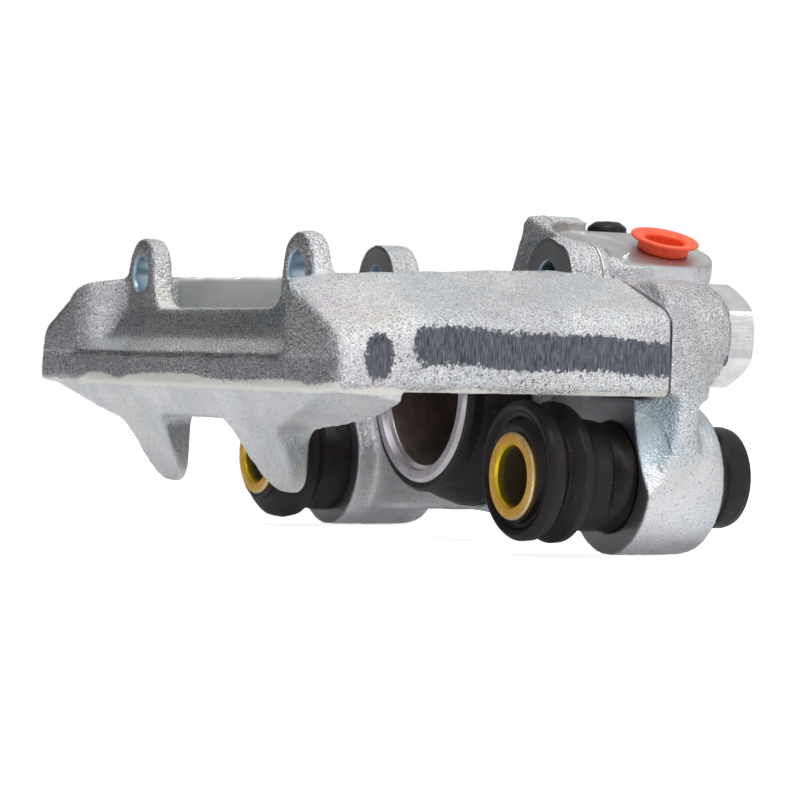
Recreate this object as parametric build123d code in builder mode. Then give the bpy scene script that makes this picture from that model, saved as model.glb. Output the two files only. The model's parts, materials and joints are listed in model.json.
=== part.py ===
from build123d import *
import os
from math import cos, radians, sin

# Floating brake caliper, two castings bolted together, with rubber-bushed guide sleeves.
# Axes: X runs along the disc's rotation, -Y is outboard, +Y inboard, +Z radially outward.
# Everything is drawn from the plane of the guide sleeves' outboard ends, on the piston axis;
# save() then moves the origin to the middle of the piston's face. Millimetres throughout.

# Bore, piston and seals
PISTON_R = 24.0
PISTON_FACE_Y = 12.3
PISTON_LENGTH = 48.0
PISTON_CUP_R = 19.5
RUNNING_CLEARANCE = 0.04
BORE_END_Y = 70.0
CYLINDER_R = 31.0
CYLINDER_RIM_Y = 28.8
CYLINDER_BACK_Y = 79.0
SEAL_Y = 35.5
SEAL_WIDTH = 4.2
SEAL_GROOVE_R = 27.2
BOOT_SEAT_R = 29.3
BOOT_SEAT_DEPTH = 4.2
BOOT_RING_R = 28.2
BOOT_RING_WIDTH = 1.2

# Guide sleeves and their rubbers
SLEEVE_X = 68.94
SLEEVE_Z = -19.48
SLEEVE_LENGTH = 59.2
SLEEVE_R = 10.45
SLEEVE_BORE_R = 7.2
BUSH_BORE_R = SLEEVE_R + 0.05
BUSH_R = 13.0
BUSH_END_Y = 60.7
BOSS_R = 18.8
WEB_R = 14.2
BOSS_FACES = {"left": 22.0, "right": 27.0}
CAST_FACE_Y = 28.2
BOSS_BACK_Y = 48.3
SPOT_FACE_R = 33.0

# Bridge frame
WINDOW_X = 60.0
ARM_X = 87.5
ARM_TOP_Z = 28.0
JOINT_Y = 32.0
NOSE_Y = -57.0
PAD_FACE_Y = -38.5
CROSS_TOP_Z = 19.0

# Pad pin ears
PIN_X = 45.0
PIN_Z = 27.7
PIN_HOLE_R = 4.45
EAR_OUTER_Y = -46.0
EAR_INNER_Y = -40.0
INNER_EAR_Y = 22.8
EAR_BACK_Y = 31.6
EAR_R = 10.4

# Bridge bolts
BOLT_X = 73.0
BOLT_Z = 15.0
BOLT_R = 7.0
BOLT_SEAT_Y = 51.0
BOLT_HEAD = 7.2
BOLT_FLATS = 22.0
BOLT_REACH = 28.0

# Hose port on its tilted rail, and the bleeder
PORT_TILT = radians(19.5)
PORT_FACE = 48.0
PORT_ACROSS = 27.3
PORT_Y = 58.2
PORT_HOLE_R = 5.5
PORT_DEPTH = 14.0
RAIL_MID = 26.3
RAIL_R = 13.6
BLOCK_FACE = 51.4
CLEARANCE_R = 11.3
BLEEDER_Y = 67.6
BLEEDER_BOSS_Z = 33.5
BLEEDER_THREAD_R = 5.0
BLEEDER_FLATS = 11.0
NIPPLE_R = 3.3
NIPPLE_TOP_Z = 43.6
CAP_TOP_Z = 45.2

os.makedirs("parts", exist_ok=True)


def at_y(y):
    """Plane across the piston axis at y; its normal points outboard."""
    return Plane(origin=(0, y, 0), x_dir=(1, 0, 0), z_dir=(0, -1, 0))


def beside(x, z):
    """Plane through a line along Y at (x, z); local x is the radius, local y is Y."""
    return Plane(origin=(x, 0, z), x_dir=(1, 0, 0), z_dir=(0, 0, 1))


def line_at(x, z):
    return Axis((x, 0, z), (0, 1, 0))


def tilted(height):
    """Plane parallel to the hose port's face, at a height above the piston axis."""
    normal = Vector(sin(PORT_TILT), 0, cos(PORT_TILT))
    return Plane(origin=normal * height, x_dir=(cos(PORT_TILT), 0, -sin(PORT_TILT)), z_dir=normal)


def save(part, name):
    """Moves the origin to the middle of the piston's face and writes the piece."""
    placed = part.moved(Location((0, -PISTON_FACE_Y, 0)))
    placed.label = name
    export_step(placed, f"parts/{name}.step")


def along_sleeve(side):
    return beside(side * SLEEVE_X, SLEEVE_Z), line_at(side * SLEEVE_X, SLEEVE_Z)


def both(x, z):
    """The same point on either side of the piston."""
    return [(-x, z), (x, z)]


SIDES = {"left": -1, "right": 1}

# ---------------------------------------------------------------- bridge frame
# Arm sections from the nose to the joint: y, shoulder height, crown half width, crown height
ARM_SECTIONS = [
    (NOSE_Y, 12.5, 59.0, 25.5),
    (-35.0, 16.8, 63.0, 27.4),
    (14.0, 19.3, 62.5, 29.6),
    (JOINT_Y, 19.5, 65.0, ARM_TOP_Z),
]

with BuildPart() as outline:
    with BuildSketch(Plane.XY.offset(-30)) as plan:
        with Locations((0, (NOSE_Y + JOINT_Y) / 2)):
            Rectangle(2 * ARM_X, JOINT_Y - NOSE_Y)
        fillet(plan.vertices().group_by(Axis.Y)[0], radius=5.5)
    extrude(amount=80)

with BuildPart() as arms:
    for y, shoulder_z, crown_x, crown_z in ARM_SECTIONS:
        with BuildSketch(at_y(y)):
            with BuildLine():
                Polyline(
                    (0, 0), (ARM_X - 1.5, 0), (ARM_X, 1.5), (ARM_X, shoulder_z - 1.5),
                    (ARM_X - 2.6, shoulder_z + 1.2), (crown_x, crown_z), (0, crown_z), close=True,
                )
            make_face()
            mirror(about=Plane.YZ)
    loft(ruled=True)
    add(outline.part, mode=Mode.INTERSECT)
    # window that the pads and the disc pass through
    with BuildSketch(Plane.XY) as window:
        with Locations((0, (PAD_FACE_Y + JOINT_Y) / 2 + 20)):
            Rectangle(2 * WINDOW_X, JOINT_Y - PAD_FACE_Y + 40)
        fillet(window.vertices().group_by(Axis.Y)[0], radius=14)
    extrude(amount=40, mode=Mode.SUBTRACT)

with BuildPart() as recess:
    # hollow along the outboard face, running out in an S-curve at each end
    with BuildSketch(Plane.XY):
        with BuildLine():
            Polyline((0, EAR_OUTER_Y), (48, EAR_OUTER_Y))
            Spline((48, EAR_OUTER_Y), (56, -51.6), (65, NOSE_Y - 0.2), tangents=((1, 0), (1, 0)))
            Polyline((65, NOSE_Y - 0.2), (65, NOSE_Y - 6), (0, NOSE_Y - 6), (0, EAR_OUTER_Y))
        make_face()
        mirror(about=Plane.YZ)
    extrude(amount=45)
    with BuildSketch(Plane.YZ.offset(-70)) as cove:
        with BuildLine():
            Polyline(
                (NOSE_Y - 8, 3.2), (-50.5, 11.2), (-48.6, 14), (EAR_OUTER_Y, CROSS_TOP_Z),
                (EAR_OUTER_Y, 40), (NOSE_Y - 8, 40), close=True,
            )
        make_face()
        fillet(cove.vertices().filter_by(lambda v: abs(v.X + 50.5) < 0.1), radius=5)
    extrude(amount=140, mode=Mode.INTERSECT)
    with BuildSketch(at_y(NOSE_Y - 8)):
        with Locations((0, 5.5 + 30)):
            RectangleRounded(130, 60, 9)
    extrude(amount=-30, mode=Mode.INTERSECT)

# Fingers narrow inboard; outlines at the nose face and at the pad face:
# y, inner root x, inner and outer tip x, outer root x, then the web's underside out to the arm
FINGER_ROOT_Z = -8.0
FINGER_TIP_Z = -25.2
FINGER_SECTIONS = [
    (NOSE_Y, 15.5, 11.5, 45.0, 46.2, [(57.9, -5.8), (67, -3), (78, -0.3), (ARM_X - 1.5, 0)]),
    (
        PAD_FACE_Y, 27.2, 28.6, 39.0, 40.2,
        [(60.4, -8.1), (73.1, -6.4), (79.5, -4.6), (ARM_X - 1.5, -2.4)],
    ),
]

with BuildPart() as fingers:
    for y, root_in, tip_in, tip_out, root_out, web in FINGER_SECTIONS:
        with BuildSketch(at_y(y)) as finger:
            with BuildLine():
                Polyline(
                    (0, 2), (0, FINGER_ROOT_Z), (root_in, FINGER_ROOT_Z), (tip_in, FINGER_TIP_Z),
                    (tip_out, FINGER_TIP_Z), (root_out, -10.2), *web, (ARM_X - 1.5, 2), close=True,
                )
            make_face()
            fillet(finger.vertices().filter_by(lambda v: v.Y < -20), radius=5.5)
            inner_root = finger.vertices().filter_by(lambda v: abs(v.X - root_in) < 0.1 and v.Y < -5)
            fillet(inner_root, radius=3)
            fillet(finger.vertices().filter_by(lambda v: abs(v.X - root_out) < 0.1), radius=5)
            mirror(about=Plane.YZ)
    loft(ruled=True)
    add(outline.part, mode=Mode.INTERSECT)
    # the outboard side slopes back towards the finger tips
    with BuildSketch(Plane.YZ.offset(-ARM_X)):
        with BuildLine():
            Polyline(
                (NOSE_Y - 3, 0), (-55.9, 0), (-41.4, -25.6), (-41.4, -30), (NOSE_Y - 3, -30),
                close=True,
            )
        make_face()
    extrude(amount=2 * ARM_X, mode=Mode.SUBTRACT)

with BuildPart() as bridge_frame:
    add(arms.part)
    add(recess.part, mode=Mode.SUBTRACT)
    # the cross-member steps down behind the ears
    with BuildSketch(Plane.XY.offset(CROSS_TOP_Z)):
        with Locations((0, EAR_OUTER_Y + 12)):
            Rectangle(2 * PIN_X + 18, 26)
    extrude(amount=20, mode=Mode.SUBTRACT)
    # pad pin ears
    with BuildSketch(at_y(EAR_INNER_Y)) as ear:
        with BuildLine():
            Polyline((30, 15), (30, CROSS_TOP_Z), (35.6, CROSS_TOP_Z), (37.4, 31))
            RadiusArc((37.4, 31), (52.8, 31), 7.9)
            Polyline((52.8, 31), (54.2, 27), (58, 26), (58, 15), (30, 15))
        make_face()
        fillet(ear.vertices().filter_by(lambda v: 35 < v.X < 36 and v.Y < 20), radius=5)
        mirror(about=Plane.YZ)
    extrude(amount=EAR_INNER_Y - EAR_OUTER_Y)
    add(fingers.part)
    # bolt and pin holes
    with BuildSketch(at_y(JOINT_Y)):
        with Locations(*both(BOLT_X, BOLT_Z)):
            Circle(BOLT_R + 0.05)
    extrude(amount=BOLT_REACH + 4, mode=Mode.SUBTRACT)
    with BuildSketch(at_y(PAD_FACE_Y)):
        with Locations(*both(PIN_X, PIN_Z)):
            Circle(PIN_HOLE_R)
    extrude(amount=20, mode=Mode.SUBTRACT)
save(bridge_frame.part, "bridge_frame")

# ------------------------------------------------------------ cylinder housing
with BuildPart() as rail:
    # raised rail that carries the hose port, with one round end
    with BuildSketch(tilted(PORT_FACE)):
        with Locations((RAIL_MID, PORT_Y)):
            Circle(RAIL_R)
        with Locations((RAIL_MID, (PORT_Y + 33) / 2)):
            Rectangle(2 * RAIL_R, PORT_Y - 33)
    extrude(amount=-44, taper=-3)
    with BuildSketch(at_y(CYLINDER_BACK_Y)):
        Circle(CYLINDER_R)
        with BuildLine():
            Polyline((5, 30), (24, 44), (58, 34), (56, 18), (29, -10), (5, -10), close=True)
        make_face()
    extrude(amount=CYLINDER_BACK_Y - 20, mode=Mode.INTERSECT)

with BuildPart() as flange:
    # web from the cylinder to each guide boss, and the neck that carries the boss
    front = BOSS_FACES["right"]
    for side in SIDES.values():
        with BuildSketch(at_y(BOSS_BACK_Y)):
            Circle(CYLINDER_R - 0.2)
            with Locations((side * SLEEVE_X, SLEEVE_Z)):
                Circle(WEB_R)
            make_hull()
            with Locations((side * SLEEVE_X, SLEEVE_Z)):
                Circle(BOSS_R)
        extrude(amount=BOSS_BACK_Y - front)
    with BuildSketch(at_y(41)):
        with Locations(*both(ARM_X - 14, -9.5)):
            Rectangle(28, 18)
    extrude(amount=41 - front)
    # as-cast face, a step behind the wide spot-face round the right boss
    with BuildSketch(at_y(CAST_FACE_Y)):
        Rectangle(400, 200)
        with Locations((SLEEVE_X, SLEEVE_Z)):
            Circle(SPOT_FACE_R, mode=Mode.SUBTRACT)
    extrude(amount=4, mode=Mode.SUBTRACT)

with BuildPart() as housing_shape:
    with BuildSketch(beside(0, 0)) as barrel:
        with BuildLine():
            Polyline(
                (0, CYLINDER_RIM_Y), (CYLINDER_R, CYLINDER_RIM_Y), (CYLINDER_R, CYLINDER_BACK_Y - 7),
                (CYLINDER_R - 7, CYLINDER_BACK_Y), (0, CYLINDER_BACK_Y), close=True,
            )
        make_face()
        fillet(barrel.vertices().filter_by(lambda v: v.X > 1 and v.Y > 60), radius=4)
    revolve(axis=Axis.Y)
    add(flange.part)
    # lugs that meet the arms, and the deck between them
    with BuildSketch(at_y(45)) as deck:
        with BuildLine():
            Polyline(
                (-ARM_X, -1), (-ARM_X, 18), (2.6 - ARM_X, 20.7), (-65, ARM_TOP_Z), (-36, 25), (36, 25),
                (65, ARM_TOP_Z), (ARM_X - 2.6, 20.7), (ARM_X, 18), (ARM_X, -1), (50, -6), (30, 0),
                (-30, 0), (-50, -6), close=True,
            )
        make_face()
    extrude(amount=45 - JOINT_Y)
    # round seats for the bridge bolts
    for side in SIDES.values():
        with BuildSketch(beside(side * BOLT_X, BOLT_Z)):
            with BuildLine():
                Polyline(
                    (0, 33), (12.9, 33), (13.2, 44), (12.2, BOLT_SEAT_Y), (0, BOLT_SEAT_Y),
                    close=True,
                )
            make_face()
        revolve(axis=line_at(side * BOLT_X, BOLT_Z))
    # far pin ear: an arch on a foot that runs back into the deck
    with BuildSketch(at_y(EAR_BACK_Y)):
        with Locations((-PIN_X, PIN_Z)):
            Circle(EAR_R)
    extrude(amount=EAR_BACK_Y - INNER_EAR_Y)
    with BuildSketch(at_y(JOINT_Y + 4)):
        with Locations((-PIN_X, 17)):
            Rectangle(2 * EAR_R, 17)
    extrude(amount=JOINT_Y + 4 - INNER_EAR_Y)
    # near pin boss, and the block behind it that rises to the rail
    with BuildSketch(at_y(35)):
        with Locations((PIN_X + 0.8, PIN_Z)):
            Circle(10.8)
        with Locations((PIN_X + 1.4, PIN_Z - 10)):
            Rectangle(22, 20)
    extrude(amount=35 - INNER_EAR_Y)
    with BuildSketch(at_y(43)):
        with BuildLine():
            Polyline(
                (18.6, 26), (18.8, 29.9), (26.4, 44.6), (51, 36.4), (52, 10), (36, 10), close=True
            )
        make_face()
    extrude(amount=43 - 27)
    add(rail.part)
    # bleeder boss on the highest line of the cylinder
    with BuildSketch(Plane.XY.offset(20)):
        with Locations((0, BLEEDER_Y)):
            Circle(8.0)
    extrude(amount=BLEEDER_BOSS_Z - 20)
    # the block is dressed parallel to the port face, with a round clearance for the pin tool
    with BuildSketch(tilted(BLOCK_FACE)):
        with Locations((30, 40)):
            Rectangle(60, 60)
    extrude(amount=20, mode=Mode.SUBTRACT)
    with BuildSketch(tilted(PORT_FACE - 0.4)):
        with Locations((25.3, 39.8)):
            Circle(CLEARANCE_R)
    extrude(amount=20, mode=Mode.SUBTRACT)
    # clearance under and over the arm ends
    with BuildSketch(Plane.XY.offset(-0.4)):
        with Locations(*both(75, JOINT_Y - 6)):
            Rectangle(30, 12)
    extrude(amount=40, mode=Mode.SUBTRACT)
    # drop-shaped pockets in the corners of the necks, deepest under the arms
    for side in SIDES.values():
        for z, x, y, radius in [(0.5, 90, 24.5, 11), (-12, 90.5, 25, 9), (-25, 90, 26.5, 1.5)]:
            with BuildSketch(Plane.XY.offset(z)):
                with Locations((side * x, y)):
                    Circle(radius)
        loft(mode=Mode.SUBTRACT)
    # the left boss stands further outboard
    with BuildSketch(at_y(BOSS_BACK_Y)):
        with Locations((-SLEEVE_X, SLEEVE_Z)):
            Circle(BOSS_R)
    extrude(amount=BOSS_BACK_Y - BOSS_FACES["left"])
    # the lugs' outer faces end in a shallow valley before the bolt seats
    for side in SIDES.values():
        with BuildSketch(Plane.YZ.offset(side * 86.2)):
            with BuildLine():
                Polyline((37.7, 19), (43.4, 5), (43, -3), (50, -3), (50, 25), (37.7, 25), close=True)
            make_face()
        extrude(amount=side * 3, mode=Mode.SUBTRACT)

with BuildPart() as cylinder_housing:
    add(housing_shape.part)
    # stepped piston bore: boot seat, seal groove, bore
    with BuildSketch(beside(0, 0)):
        with BuildLine():
            Polyline(
                (0, 20), (BOOT_SEAT_R, 20), (BOOT_SEAT_R, CYLINDER_RIM_Y + BOOT_SEAT_DEPTH),
                (PISTON_R + RUNNING_CLEARANCE, CYLINDER_RIM_Y + BOOT_SEAT_DEPTH),
                (PISTON_R + RUNNING_CLEARANCE, SEAL_Y), (SEAL_GROOVE_R, SEAL_Y),
                (SEAL_GROOVE_R, SEAL_Y + SEAL_WIDTH),
                (PISTON_R + RUNNING_CLEARANCE, SEAL_Y + SEAL_WIDTH),
                (PISTON_R + RUNNING_CLEARANCE, BORE_END_Y), (0, BORE_END_Y), close=True,
            )
        make_face()
    revolve(axis=Axis.Y, mode=Mode.SUBTRACT)
    with BuildSketch(at_y(60)):
        with Locations(*both(SLEEVE_X, SLEEVE_Z)):
            Circle(BUSH_R)
    extrude(amount=60, mode=Mode.SUBTRACT)
    with BuildSketch(at_y(60)):
        with Locations(*both(BOLT_X, BOLT_Z)):
            Circle(BOLT_R + 0.05)
    extrude(amount=40, mode=Mode.SUBTRACT)
    with BuildSketch(at_y(38)):
        with Locations(*both(PIN_X, PIN_Z)):
            Circle(PIN_HOLE_R)
    extrude(amount=30, mode=Mode.SUBTRACT)
    # hose port, with a drilling from its foot into the bore
    with BuildSketch(tilted(PORT_FACE + 1)):
        with Locations((PORT_ACROSS, PORT_Y)):
            Circle(PORT_HOLE_R)
    extrude(amount=-PORT_DEPTH - 1, mode=Mode.SUBTRACT)
    foot = tilted(PORT_FACE - PORT_DEPTH + 2).from_local_coords((PORT_ACROSS, PORT_Y, 0))
    with BuildSketch(Plane(origin=foot, z_dir=Vector(0, PORT_Y, 0) - foot)):
        Circle(2.0)
    extrude(amount=22, mode=Mode.SUBTRACT)
    # bleeder thread and its drilling into the bore
    with BuildSketch(Plane.XY.offset(BLEEDER_BOSS_Z)):
        with Locations((0, BLEEDER_Y)):
            Circle(BLEEDER_THREAD_R)
    extrude(amount=-6.5, mode=Mode.SUBTRACT)
    with BuildSketch(Plane.XY.offset(BLEEDER_BOSS_Z)):
        with Locations((0, BLEEDER_Y)):
            Circle(1.6)
    extrude(amount=-16, mode=Mode.SUBTRACT)
save(cylinder_housing.part, "cylinder_housing")

# -------------------------------------------------------------- bridge bolts
bolt_top = BOLT_SEAT_Y + BOLT_HEAD
for name, side in SIDES.items():
    with BuildPart() as bridge_bolt:
        with BuildSketch(at_y(bolt_top)):
            with Locations((side * BOLT_X, BOLT_Z)):
                RegularPolygon(BOLT_FLATS / 2, 6, major_radius=False, rotation=30)
        extrude(amount=BOLT_HEAD)
        with BuildSketch(beside(side * BOLT_X, BOLT_Z)):
            with BuildLine():
                Polyline(
                    (0, JOINT_Y), (30, JOINT_Y), (30, bolt_top - 11), (BOLT_FLATS / 2 - 0.6, bolt_top),
                    (0, bolt_top), close=True,
                )
            make_face()
        revolve(axis=line_at(side * BOLT_X, BOLT_Z), mode=Mode.INTERSECT)
        with BuildSketch(beside(side * BOLT_X, BOLT_Z)):
            with BuildLine():
                Polyline(
                    (0, BOLT_SEAT_Y), (BOLT_R, BOLT_SEAT_Y), (BOLT_R, JOINT_Y - BOLT_REACH + 1.5),
                    (BOLT_R - 1.5, JOINT_Y - BOLT_REACH), (0, JOINT_Y - BOLT_REACH), close=True,
                )
            make_face()
        revolve(axis=line_at(side * BOLT_X, BOLT_Z))
    save(bridge_bolt.part, f"bridge_bolt_{name}")

# ------------------------------------------- piston, its seal, boot and ring
with BuildPart() as piston:
    back = PISTON_FACE_Y + PISTON_LENGTH
    with BuildSketch(beside(0, 0)) as turned:
        with BuildLine():
            Polyline(
                (0, back - 10), (PISTON_CUP_R - 3, back - 10), (PISTON_CUP_R, back - 13),
                (PISTON_CUP_R, PISTON_FACE_Y), (PISTON_R - 0.8, PISTON_FACE_Y),
                (PISTON_R, PISTON_FACE_Y + 0.8), (PISTON_R, PISTON_FACE_Y + 2.2),
                (PISTON_R - 1.8, PISTON_FACE_Y + 2.6),
                (PISTON_R - 1.8, PISTON_FACE_Y + 4.6), (PISTON_R, PISTON_FACE_Y + 5),
                (PISTON_R, back - 1.5), (PISTON_R - 1.5, back), (0, back), close=True,
            )
        make_face()
    revolve(axis=Axis.Y)
save(piston.part, "piston")

with BuildPart() as piston_seal:
    with BuildSketch(beside(0, 0)):
        with Locations(((PISTON_R + 0.05 + SEAL_GROOVE_R) / 2, SEAL_Y + SEAL_WIDTH / 2)):
            Rectangle(SEAL_GROOVE_R - PISTON_R - 0.05, SEAL_WIDTH)
    revolve(axis=Axis.Y)
save(piston_seal.part, "piston_seal")

BOOT_FOOT_Y = CYLINDER_RIM_Y + BOOT_SEAT_DEPTH
with BuildPart() as piston_dust_boot:
    with BuildSketch(beside(0, 0)) as fold:
        with BuildLine():
            Polyline(
                (24.1, 13.2), (25.9, 13.2), (26.9, 15.6), (27.4, 19), (28.7, 22), (29.8, 25),
                (29.6, 27.6), (BOOT_RING_R, 28.6), (BOOT_RING_R, 30.6),
                (BOOT_SEAT_R, 30.8), (BOOT_SEAT_R, BOOT_FOOT_Y),
                (25.6, BOOT_FOOT_Y), (25.6, 30.4), (27.4, 28.2), (27.8, 25.8), (26.8, 23.2), (25.5, 20),
                (25.0, 17.6), (24.1, 17.2), close=True,
            )
        make_face()
    revolve(axis=Axis.Y)
save(piston_dust_boot.part, "piston_dust_boot")

with BuildPart() as boot_retaining_ring:
    with BuildSketch(beside(0, 0)):
        with Locations(((BOOT_RING_R + BOOT_SEAT_R) / 2, 29.9)):
            Rectangle(BOOT_SEAT_R - BOOT_RING_R - 0.02, BOOT_RING_WIDTH)
    revolve(axis=Axis.Y)
save(boot_retaining_ring.part, "boot_retaining_ring")

# -------------------------------------------------- guide sleeves and rubbers
# Radius and Y round each boot: one deep fold on the left, two on the right
BOOT_PROFILES = {
    "left": [
        (BUSH_BORE_R, 0.9), (11.9, 0.9), (12.2, 2.5), (14.6, 3.4), (16.2, 5.4), (16.7, 8.4),
        (16.2, 11.2), (14.6, 13.2), (14.3, 14.6), (14.7, 18), (14.9, BOSS_FACES["left"]),
        (BUSH_BORE_R, BOSS_FACES["left"]), (BUSH_BORE_R, 20.6), (12.6, 18.6), (12.4, 14.2),
        (14.2, 10.8), (14.2, 6.8), (12, 5), (BUSH_BORE_R, 4),
    ],
    "right": [
        (BUSH_BORE_R, 0.9), (11.9, 0.9), (13, 2.8), (14, 1.6), (15.6, 1.3), (16.5, 2.6),
        (16.3, 5.4), (14.2, 7.2), (14.2, 8.6), (16, 9.8), (16.7, 11.4), (16.4, 13.2),
        (14, 14.8), (13.4, 16), (13.1, 22.4), (12.4, 24), (13.3, 25.4),
        (13.3, BOSS_FACES["right"]), (BUSH_BORE_R, BOSS_FACES["right"]), (BUSH_BORE_R, 25.6),
        (11.4, 23.6), (11.4, 15.2), (14.2, 12.4), (14.2, 11), (12, 9.6), (BUSH_BORE_R, 7.4),
    ],
}

for name, side in SIDES.items():
    plane, line = along_sleeve(side)
    with BuildPart() as guide_sleeve:
        with BuildSketch(plane):
            with BuildLine():
                Polyline(
                    (SLEEVE_BORE_R, 0.8), (SLEEVE_BORE_R + 0.8, 0), (SLEEVE_R - 0.7, 0), (SLEEVE_R, 0.7),
                    (SLEEVE_R, SLEEVE_LENGTH - 0.7), (SLEEVE_R - 0.7, SLEEVE_LENGTH),
                    (SLEEVE_BORE_R + 0.8, SLEEVE_LENGTH), (SLEEVE_BORE_R, SLEEVE_LENGTH - 0.8),
                    close=True,
                )
            make_face()
        revolve(axis=line)
    save(guide_sleeve.part, f"guide_sleeve_{name}")

    face = BOSS_FACES[name]
    with BuildPart() as guide_bush:
        with BuildSketch(plane):
            with BuildLine():
                Polyline(
                    (BUSH_BORE_R, face + 0.5), (BUSH_R, face + 0.5), (BUSH_R, BOSS_BACK_Y),
                    (14.0, BOSS_BACK_Y), (14.2, 50.4), (13.6, 52), (12, 52.8), (11.8, 53.5),
                    (12.4, 54.2), (12.4, 58.9), (12, 60.2), (11.4, BUSH_END_Y),
                    (BUSH_BORE_R, BUSH_END_Y), close=True,
                )
            make_face()
        revolve(axis=line)
    save(guide_bush.part, f"guide_bush_{name}")

    with BuildPart() as guide_boot:
        with BuildSketch(plane):
            with BuildLine():
                Polyline(*BOOT_PROFILES[name], close=True)
            make_face()
        revolve(axis=line)
    save(guide_boot.part, f"guide_boot_{name}")

# ------------------------------------------------- bleeder, its cap, port plug
bleeder_plane = Plane(origin=(0, BLEEDER_Y, 0), x_dir=(1, 0, 0), z_dir=(0, -1, 0))
bleeder_line = Axis((0, BLEEDER_Y, 0), (0, 0, 1))
with BuildPart() as bleed_screw:
    with BuildSketch(Plane.XY.offset(BLEEDER_BOSS_Z + 0.2)):
        with Locations((0, BLEEDER_Y)):
            RegularPolygon(BLEEDER_FLATS / 2, 6, major_radius=False)
    extrude(amount=4.2)
    with BuildSketch(bleeder_plane):
        with BuildLine():
            Polyline(
                (0, BLEEDER_BOSS_Z - 6.1), (1.2, BLEEDER_BOSS_Z - 6.1),
                (BLEEDER_THREAD_R - 0.04, BLEEDER_BOSS_Z - 3),
                (BLEEDER_THREAD_R - 0.04, BLEEDER_BOSS_Z + 0.2), (NIPPLE_R, BLEEDER_BOSS_Z + 0.2),
                (NIPPLE_R, NIPPLE_TOP_Z - 0.8), (NIPPLE_R - 0.8, NIPPLE_TOP_Z),
                (0, NIPPLE_TOP_Z), close=True,
            )
        make_face()
    revolve(axis=bleeder_line)
save(bleed_screw.part, "bleed_screw")

with BuildPart() as bleed_screw_cap:
    with BuildSketch(bleeder_plane) as dome:
        with BuildLine():
            Polyline(
                (NIPPLE_R + 0.05, BLEEDER_BOSS_Z + 4.6), (5.6, BLEEDER_BOSS_Z + 4.6),
                (5.8, BLEEDER_BOSS_Z + 6), (5.4, CAP_TOP_Z - 1.8), (3.6, CAP_TOP_Z - 0.3),
                (0, CAP_TOP_Z), (0, NIPPLE_TOP_Z + 0.1),
                (NIPPLE_R + 0.05, NIPPLE_TOP_Z + 0.1), close=True,
            )
        make_face()
    revolve(axis=bleeder_line)
save(bleed_screw_cap.part, "bleed_screw_cap")

PLUG_LIFT = 3.7
port_foot = tilted(0).from_local_coords((PORT_ACROSS, PORT_Y, 0))
port_up = tilted(0).z_dir
port_side = Plane(origin=port_foot, x_dir=(0, 1, 0), z_dir=Vector(0, 1, 0).cross(port_up))
with BuildPart() as hose_port_plug:
    with BuildSketch(port_side):
        with BuildLine():
            Polyline(
                (0, PORT_FACE - 11), (PORT_HOLE_R - 0.6, PORT_FACE - 11),
                (PORT_HOLE_R - 0.05, PORT_FACE - 9),
                (PORT_HOLE_R - 0.05, PORT_FACE + 0.05), (6.4, PORT_FACE + 0.05),
                (6.4, PORT_FACE + PLUG_LIFT - 1.2), (8.7, PORT_FACE + PLUG_LIFT - 1.2),
                (8.7, PORT_FACE + PLUG_LIFT), (5.1, PORT_FACE + PLUG_LIFT), (4.4, PORT_FACE - 9.6),
                (0, PORT_FACE - 9.6), close=True,
            )
        make_face()
    revolve(axis=Axis(port_foot, port_up))
save(hose_port_plug.part, "hose_port_plug")
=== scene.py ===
import json
import math
import bpy
import bmesh
import numpy as np
from mathutils import Matrix, Vector


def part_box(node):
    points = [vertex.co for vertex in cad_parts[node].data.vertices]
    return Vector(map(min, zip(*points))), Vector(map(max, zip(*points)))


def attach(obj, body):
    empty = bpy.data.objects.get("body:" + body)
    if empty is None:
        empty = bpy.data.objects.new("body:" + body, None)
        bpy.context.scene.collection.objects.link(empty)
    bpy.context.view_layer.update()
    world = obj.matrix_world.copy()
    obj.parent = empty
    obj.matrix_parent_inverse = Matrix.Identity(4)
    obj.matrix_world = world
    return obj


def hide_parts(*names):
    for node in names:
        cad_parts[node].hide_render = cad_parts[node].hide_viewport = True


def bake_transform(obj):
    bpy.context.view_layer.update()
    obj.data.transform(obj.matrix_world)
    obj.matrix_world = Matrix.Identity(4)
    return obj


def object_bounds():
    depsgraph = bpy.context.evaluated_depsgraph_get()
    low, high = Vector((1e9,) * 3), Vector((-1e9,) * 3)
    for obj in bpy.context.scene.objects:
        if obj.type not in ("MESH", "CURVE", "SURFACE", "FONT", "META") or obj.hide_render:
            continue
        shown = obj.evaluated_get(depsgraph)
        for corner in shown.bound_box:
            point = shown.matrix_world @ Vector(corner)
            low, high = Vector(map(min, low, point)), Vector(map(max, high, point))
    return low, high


# Looks of a floating brake caliper: two zinc-plated castings, rubber boots, yellow zinc sleeves.
# Shapes are written in millimetres from the drawing datum, which lies on the piston axis in the
# plane of the guide sleeves' outboard ends: X along the disc, Y inboard, Z outward.

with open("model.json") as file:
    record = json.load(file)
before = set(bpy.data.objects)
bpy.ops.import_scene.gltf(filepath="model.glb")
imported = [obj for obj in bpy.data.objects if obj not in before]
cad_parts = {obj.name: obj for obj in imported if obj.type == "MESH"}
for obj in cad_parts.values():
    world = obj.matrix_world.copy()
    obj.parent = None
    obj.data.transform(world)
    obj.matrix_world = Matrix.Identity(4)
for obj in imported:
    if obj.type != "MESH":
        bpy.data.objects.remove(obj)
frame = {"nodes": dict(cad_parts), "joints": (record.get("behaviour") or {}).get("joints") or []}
cad_low, cad_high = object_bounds()

MM = 0.001
VOXEL = 0.5
SEGMENTS = 192

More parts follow.
